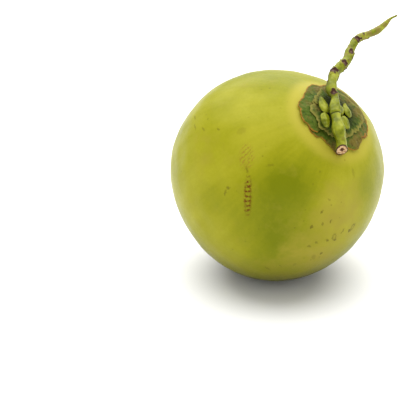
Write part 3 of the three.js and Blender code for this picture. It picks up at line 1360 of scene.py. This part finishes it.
@dataclass
class Stalk:
    """The flower stalk: cut at its thick end, laid over the calyx, and tapering away to a bent twig.

    Args:
        form: the fruit that it belongs to.
        stations: x, y, z and radius along it in millimetres, from the cut end to the twig's tip.
        neck: the same for the fruit's neck, from the husk to the stalk.
        scars: where flowers dropped off.
        joint_along: where a joint rings it, in millimetres from the cut end.
        cut_facing: the way that the cut faces.
        furrow, furrow_ends: the side that a furrow runs along, and where it begins and ends.
        cut_slant_reach: how far from the cut end its slant carries on.
        dry_from, mottled_from: where it is drier towards the tip, and where it becomes mottled.
        ridge_swell: how high its three blunt ridges are, as a share of its radius.
        lump_height, grain_height: the heights of its lumps and of finer unevenness, in millimetres.
        joint_depth, joint_lip: how deep the joint is and how high the lip beside it, in millimetres.
        furrow_depth: how deep the furrow is, in millimetres.
        cut_rim, wood_hollow, pith_hollow: the relief of the cut face, in millimetres.
        across, step: how finely it is drawn: vertices round it, and millimetres between sections.
        cut_rings: how many rings of vertices the cut face has.
    """

    form: FruitForm
    stations: tuple[tuple[float, float, float, float], ...] = (
        (26.0, -17.5, 81.4, 4.3),
        (19.0, -17.0, 85.3, 3.9),
        (12.5, -15.6, 88.1, 4.7),
        (6.0, -12.6, 88.8, 3.2),
        (2.0, -10.5, 89.0, 3.6),
        (-3.4, -6.1, 89.5, 3.7),
        (-7.2, -2.8, 89.4, 2.8),
        (-10.4, -0.8, 89.3, 3.2),
        (-15.8, 0.7, 89.1, 3.9),
        (-24.5, 9.5, 91.0, 3.6),
        (-28.5, 17.5, 93.0, 3.8),
        (-31.0, 26.0, 95.5, 3.5),
        (-37.5, 35.0, 98.0, 3.1),
        (-42.5, 45.0, 101.0, 2.8),
        (-41.5, 58.0, 105.5, 2.8),
        (-42.5, 67.0, 109.0, 2.3),
        (-44.5, 74.0, 113.0, 1.1),
        (-44.5, 79.5, 115.5, 0.7),
    )
    neck: tuple[tuple[float, float, float, float], ...] = (
        (0.0, 0.0, 80.3, 3.2),
        (0.0, -0.4, 84.6, 3.4),
        (-0.8, -4.0, 87.6, 3.4),
        (-1.2, -7.6, 88.8, 2.8),
    )
    scars: tuple[FlowerScar, ...] = (
        FlowerScar(44.5, (0.39, -0.44, 0.86), 2.0),
        FlowerScar(54.5, (-0.46, -0.90, -0.25), 1.3),
        FlowerScar(63, (-0.10, -0.88, 0.40), 2.4),
        FlowerScar(74, (0.17, -0.72, 0.68), 2.2),
        FlowerScar(86, (0.30, -0.50, 0.83), 2.0),
        FlowerScar(99.5, (0.23, -0.65, 0.72), 2.4),
        FlowerScar(80, (-0.50, -0.80, -0.30), 0.9),
        FlowerScar(92, (-0.50, -0.80, -0.30), 1.0),
        FlowerScar(82, (0.53, 0.70, 0.47), 1.3),
        FlowerScar(102.5, (0.80, 0.10, -0.20), 1.4),
        FlowerScar(107, (-0.17, -0.51, 0.97), 0.8),
        FlowerScar(110, (0.90, -0.50, -0.10), 0.8),
        FlowerScar(72, (0.20, 0.90, 0.30), 2.0),
        FlowerScar(61, (-0.30, 0.90, 0.20), 2.1),
        FlowerScar(92, (-0.20, 0.70, -0.60), 1.8),
        FlowerScar(99, (-0.90, 0.20, -0.20), 1.6),
    )
    joint_along: float = 26.5
    cut_facing: tuple[float, float, float] = (0.885, -0.46, 0.04)
    furrow: tuple[float, float, float] = (0.39, -0.44, 0.86)
    furrow_ends: tuple[float, float] = (28.0, 41.0)
    cut_slant_reach: float = 9.0
    dry_from: float = 98.0
    mottled_from: tuple[float, float] = (50.0, 64.0)
    ridge_swell: float = 0.035
    lump_height: float = 0.30
    grain_height: float = 0.09
    joint_depth: float = 0.6
    joint_lip: float = 0.3
    furrow_depth: float = 1.0
    cut_rim: float = 0.30
    wood_hollow: float = 0.45
    pith_hollow: float = 1.3
    across: int = 56
    step: float = 0.36
    cut_rings: int = 14

    @staticmethod
    def spline(stations: np.ndarray, count: int) -> np.ndarray:
        """Run a smooth curve through stations.

        Args:
            stations: one row for each station.
            count: how many rows to give back for each gap between stations.

        Returns:
            The rows along the curve.
        """
        before, after = 2 * stations[:1] - stations[1:2], 2 * stations[-1:] - stations[-2:-1]
        ends = np.concatenate([before, stations, after])
        t = np.linspace(0, 1, count, endpoint=False)[:, None]
        rows = []
        for a, b, c, d in zip(ends, ends[1:], ends[2:], ends[3:]):
            bend = (2 * a - 5 * b + 4 * c - d) * t ** 2
            twist = (3 * b - a - 3 * c + d) * t ** 3
            rows.append(0.5 * (2 * b + (c - a) * t + bend + twist))
        return np.concatenate([*rows, stations[-1:]])

    @staticmethod
    def frames(route: np.ndarray) -> tuple[np.ndarray, np.ndarray, np.ndarray]:
        """Carry a pair of cross directions along a route without twisting it.

        Args:
            route: points along it.

        Returns:
            The heading and the two cross directions at each point.
        """
        heading = unit(np.gradient(route, axis=0))
        first = np.zeros_like(heading)
        first[0] = unit(np.cross(heading[0], [0.0, 0.0, 1.0]))
        for i in range(1, len(route)):
            first[i] = unit(first[i - 1] - heading[i] * (first[i - 1] @ heading[i]))
        return heading, first, np.cross(heading, first)

    def rod(self, stations: tuple, step: float) -> tuple[np.ndarray, np.ndarray, np.ndarray]:
        """Lay evenly spaced round sections along stations.

        Args:
            stations: rows of x, y, z and radius.
            step: the distance between sections, in millimetres.

        Returns:
            The sections' middles with their radii, the directions out of them, and the distance along.
        """
        rows = self.spline(np.array(stations), 60)
        walked = np.concatenate([[0], np.cumsum(np.linalg.norm(np.diff(rows[:, :3], axis=0), axis=1))])
        along = np.linspace(0, walked[-1], int(walked[-1] / step))
        rows = np.stack([np.interp(along, walked, rows[:, i]) for i in range(4)], -1)
        _, first, second = self.frames(rows[:, :3])
        turn = np.linspace(0, 2 * math.pi, self.across, endpoint=False)[None, :, None]
        spokes = first[:, None] * np.cos(turn) + second[:, None] * np.sin(turn)
        return rows, spokes, along

    def build(self) -> list[Piece]:
        """Shape the stalk and the neck under it.

        Returns:
            Both pieces.
        """
        rows, spokes, along = self.rod(self.stations, self.step)
        turn = np.linspace(0, 2 * math.pi, self.across, endpoint=False)
        ridged = 1 + self.ridge_swell * np.cos(3 * turn + along[:, None] / 9)
        skin = rows[:, None, :3] + spokes * (rows[:, 3][:, None] * ridged)[..., None]
        lump, readings = self.relief(rows, spokes, along, skin)
        skin = self.slant(rows, skin + spokes * lump[..., None], along)
        skin, readings = self.close_ends(rows, skin, readings)
        stalk = Piece(
            "flower_stalk", "stalk", "stalk", self.form.to_ground(skin.reshape(-1, 3)),
            loft_faces(len(skin), self.across), readings,
        )
        neck_rows, neck_spokes, _ = self.rod(self.neck, self.step)
        neck_skin = neck_rows[:, None, :3] + neck_spokes * neck_rows[:, 3][:, None, None]
        neck = Piece(
            "fruit_neck", "stalk", "stalk", self.form.to_ground(neck_skin.reshape(-1, 3)),
            loft_faces(len(neck_skin), self.across),
        )
        return [stalk, neck]

    def relief(self, rows: np.ndarray, spokes: np.ndarray, along: np.ndarray, skin: np.ndarray) -> tuple:
        """Work out the stalk's lumps, joint and scars.

        Args:
            rows: the sections' middles and radii.
            spokes: the directions out of them.
            along: their distance from the cut end.
            skin: the smooth outlines.

        Returns:
            How far each vertex moves out, and what its finish reads there.
        """
        slender = np.clip(rows[:, 3][:, None] / 3.5, 0.15, 1)
        lump = (self.lump_height * Ripple(9, 61)(skin) + self.grain_height * Ripple(3, 62)(skin)) * slender
        past_joint = along[:, None] - self.joint_along - 0.8 * spokes[..., 0]
        lump = lump - self.joint_depth * np.exp(-(past_joint / 0.6) ** 2)
        lump = lump + self.joint_lip * np.exp(-((past_joint - 1.4) / 1.0) ** 2)
        start, stop = self.furrow_ends
        in_furrow = smooth(along, start, start + 4) * (1 - smooth(along, stop - 4, stop))
        aside = 1 - spokes @ unit(np.array(self.furrow))
        furrow = np.exp(-(aside / 0.06)) * in_furrow[:, None]
        lump = lump - self.furrow_depth * furrow
        dry = 0.30 * smooth(along[:, None], self.dry_from, self.dry_from + 12) + 0.25 * Ripple(5, 64)(skin)
        dry = dry + 0.22 * smooth(along[:, None], *self.mottled_from) + 0.15 * Ripple(1.8, 65)(skin)
        readings = {
            # Painted shade on the side that faces down towards the calyx.
            "shade": 0.72 * (1 - smooth(spokes[..., 2], -0.5, 0.6)),
            # Painted shade in the joint's groove and in the furrow.
            "crease": np.maximum(0.9 * np.exp(-(past_joint / 0.6) ** 2), furrow),
            "scar": np.broadcast_to(0.8 * np.exp(-(along[:, None] / 0.5) ** 2), lump.shape),
            "scar_middle": np.zeros_like(lump),
            "dry": dry,
        }
        for mark in self.scars:
            at = int(np.argmin(np.abs(along - mark.along)))
            facing = spokes[at] @ unit(np.array(mark.facing))
            middle = rows[at, :3] + spokes[at, int(np.argmax(facing))] * rows[at, 3]
            apart = np.linalg.norm(skin - middle, axis=-1) / mark.size * (1 + 0.24 * Ripple(2.2, 63)(skin))
            lip = 0.26 * np.exp(-((apart - 0.95) / 0.35) ** 2)
            lump = lump + mark.size * (lip - 0.16 * np.exp(-(apart / 0.5) ** 2))
            for name, reading in (
                ("scar", 1 - smooth(apart, 0.78, 1.18)),
                ("dry", 0.62 * np.exp(-(apart / 1.5) ** 4)),
                ("scar_middle", 0.9 * (1 - smooth(apart, 0.15, 0.5))),
            ):
                readings[name] = np.maximum(readings[name], reading)
        return lump, readings

    def slant(self, rows: np.ndarray, skin: np.ndarray, along: np.ndarray) -> np.ndarray:
        """Turn the cut end to face the way that the knife went.

        Args:
            rows: the sections' middles and radii.
            skin: the sections' outlines.
            along: their distance from the cut end.

        Returns:
            The outlines, leaning more and more towards the cut end.
        """
        ahead = unit(rows[0, :3] - rows[1, :3])
        facing = unit(np.array(self.cut_facing))
        shift = -(skin[0] - rows[0, :3]) @ facing / (ahead @ facing)
        share = 1 - smooth(along, 0, self.cut_slant_reach)
        return skin + ahead * (shift[None, :] * share[:, None])[..., None]

    def close_ends(self, rows: np.ndarray, skin: np.ndarray, readings: dict) -> tuple[np.ndarray, dict]:
        """Close the cut end with a woody face, and the tip with a rounded one.

        Args:
            rows: the sections' middles and radii.
            skin: the sections' outlines.
            readings: values at each vertex of the outlines, by name.

        Returns:
            All outlines from the middle of the cut face to the tip, and readings to match.
        """
        inwards = (np.linspace(0.97, 0.0, self.cut_rings, endpoint=False) ** 0.8)[:, None]
        middle, facing = rows[0, :3], unit(np.array(self.cut_facing))
        face = middle + (skin[0] - middle) * (1 - inwards[..., None])
        rim = self.cut_rim * smooth(inwards, 0.0, 0.10) - self.wood_hollow * smooth(inwards, 0.10, 0.28)
        height = rim - self.pith_hollow * smooth(inwards, 0.66, 0.86) + 0.16 * Ripple(1.6, 70)(face)
        face = face + facing * height[..., None]

        end, ahead = rows[-1, :3], unit(rows[-1, :3] - rows[-2, :3])
        closing = np.radians([28, 54, 75])[:, None, None]
        tip = end + (skin[-1] - end) * np.cos(closing) + ahead * (rows[-1, 3] * np.sin(closing))

        blank = np.zeros(face.shape[:2])
        bands = {
            "scar": blank + 1 - smooth(inwards, 0.08, 0.18),
            "wood": blank + smooth(inwards, 0.10, 0.20),
            "wood_fleck": (0.45 + 0.5 * Ripple(1.9, 71)(face)) * smooth(inwards, 0.1, 0.2),
            "pith": blank + smooth(inwards, 0.60, 0.76),
        }
        names = {*bands, *readings}
        closed = {}
        for name in sorted(names):
            side = readings.get(name, np.zeros(skin.shape[:2]))
            front = bands.get(name, blank)
            closed[name] = np.concatenate([front, side, np.repeat(side[-1:], len(tip), axis=0)]).ravel()
        return np.concatenate([face, skin, tip]), closed


# ---------------------------------------------------------------- studio


@dataclass(frozen=True)
class Studio:
    """A pale floor in a white room, under one wide soft light that stands a little behind the fruit.

    Args:
        room_glow: how bright the white room is.
        softbox_strength: the light's strength on a surface that faces it, in watts per square metre.
        softbox_spread: how wide it looks from the fruit.
        softbox_elevation: how far above the horizon it stands, in degrees.
        softbox_azimuth: the way it stands from the fruit, in degrees from +X towards +Y.
        floor_side: the floor's side in metres.
        floor_colour: matt white board.
    """

    room_glow: float = 0.87
    softbox_strength: float = 4.5
    softbox_spread: float = math.radians(90)
    softbox_elevation: float = 67.0
    softbox_azimuth: float = 135.0
    floor_side: float = 14.0
    floor_colour: str = "#eaeae9"

    def build(self) -> None:
        """Make the floor, the room's light and the softbox."""
        bpy.context.scene.view_settings.view_transform = "Standard"
        room = bpy.data.worlds.new("white_room")
        room.use_nodes = True
        room.node_tree.nodes.clear()
        light = add_node(room.node_tree, "Background", {}, {
            "Color": (1, 1, 1, 1), "Strength": self.room_glow,
        })
        add_node(room.node_tree, "OutputWorld", {}, {"Surface": light})
        bpy.context.scene.world = room

        lamp = bpy.data.lights.new("softbox", "SUN")
        lamp.angle = self.softbox_spread
        lamp.energy = self.softbox_strength
        softbox = bpy.data.objects.new("softbox", lamp)
        tilt = math.radians(90 - self.softbox_elevation)
        softbox.rotation_euler = (0, tilt, math.radians(self.softbox_azimuth))
        bpy.context.scene.collection.objects.link(softbox)

        bpy.ops.mesh.primitive_plane_add(size=self.floor_side)
        floor = bpy.context.object
        floor.name = "studio_floor"
        board = Finish("matt_white_board", plain=self.floor_colour, roughness=0.9)
        floor.data.materials.append(board.make())


@dataclass(frozen=True)
class StudioCamera:
    """The camera, standing off the fruit's leaning side and looking down on it.

    Args:
        azimuth: how far round it stands, in degrees; 0 looks along +Y.
        elevation: how far above the horizon it stands, in degrees.
        distance: from the camera to the point that it looks at, in metres.
        lens: its focal length in millimetres.
        beside: how far the fruit's middle is to the right of that point, in metres.
        above: how far the fruit's middle is above that point, in metres.
    """

    azimuth: float = 45.0
    elevation: float = 23.0
    distance: float = 0.8425
    lens: float = 100.0
    beside: float = 0.0585
    above: float = 0.0194

    def build(self, middle: Vector) -> None:
        """Set the camera up.

        Args:
            middle: the middle of the fruit.
        """
        a, e = math.radians(self.azimuth), math.radians(self.elevation)
        back = Vector((math.sin(a) * math.cos(e), -math.cos(a) * math.cos(e), math.sin(e)))
        right = Vector((math.cos(a), math.sin(a), 0))
        up = back.cross(right)
        data = bpy.data.cameras.new("studio_camera")
        data.lens = self.lens
        camera = bpy.data.objects.new("studio_camera", data)
        aim = middle - right * self.beside - up * self.above
        turn = Matrix((right, up, back)).transposed().to_4x4()
        camera.matrix_world = Matrix.Translation(aim + back * self.distance) @ turn
        bpy.context.scene.collection.objects.link(camera)
        bpy.context.scene.camera = camera


# ---------------------------------------------------------------- the coconut


def main() -> None:
    """Build the studio, then the coconut from its husk outwards."""
    logging.basicConfig(level=logging.INFO, format="%(message)s")
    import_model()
    form = FruitForm()

    StudioCamera().build(Vector((0, 0, form.centre_height * MM)))
    Studio().build()

    petal_skin = ScaleSkin(form=form)
    sepal_skin = ScaleSkin(
        name="torn_calyx_scale", form=form, rim_dry="#7d7632", rim_bleached="#a09158", rim_width=3.0,
    )
    petals = Whorl("petal", form, PETAL_REACHES, first_angle=-30, seat=0.3, seed=20)
    sepals = Whorl(
        "sepal", form, SEPAL_REACHES, first_angle=30, seat=2.5, seed=30, rim_wave=0.8, rim_fringe=0.45,
    )
    dressed = (
        ([Husk(form).build()], HuskSkin(form=form)),
        (petals.build(), petal_skin),
        (sepals.build(), sepal_skin),
        ([*Bracts(form).build(), *Stalk(form).build()], ShootSkin(form=form)),
    )
    for pieces, finish in dressed:
        material = finish.make()
        for piece in pieces:
            piece.place(material)


if __name__ == "__main__":
    main()
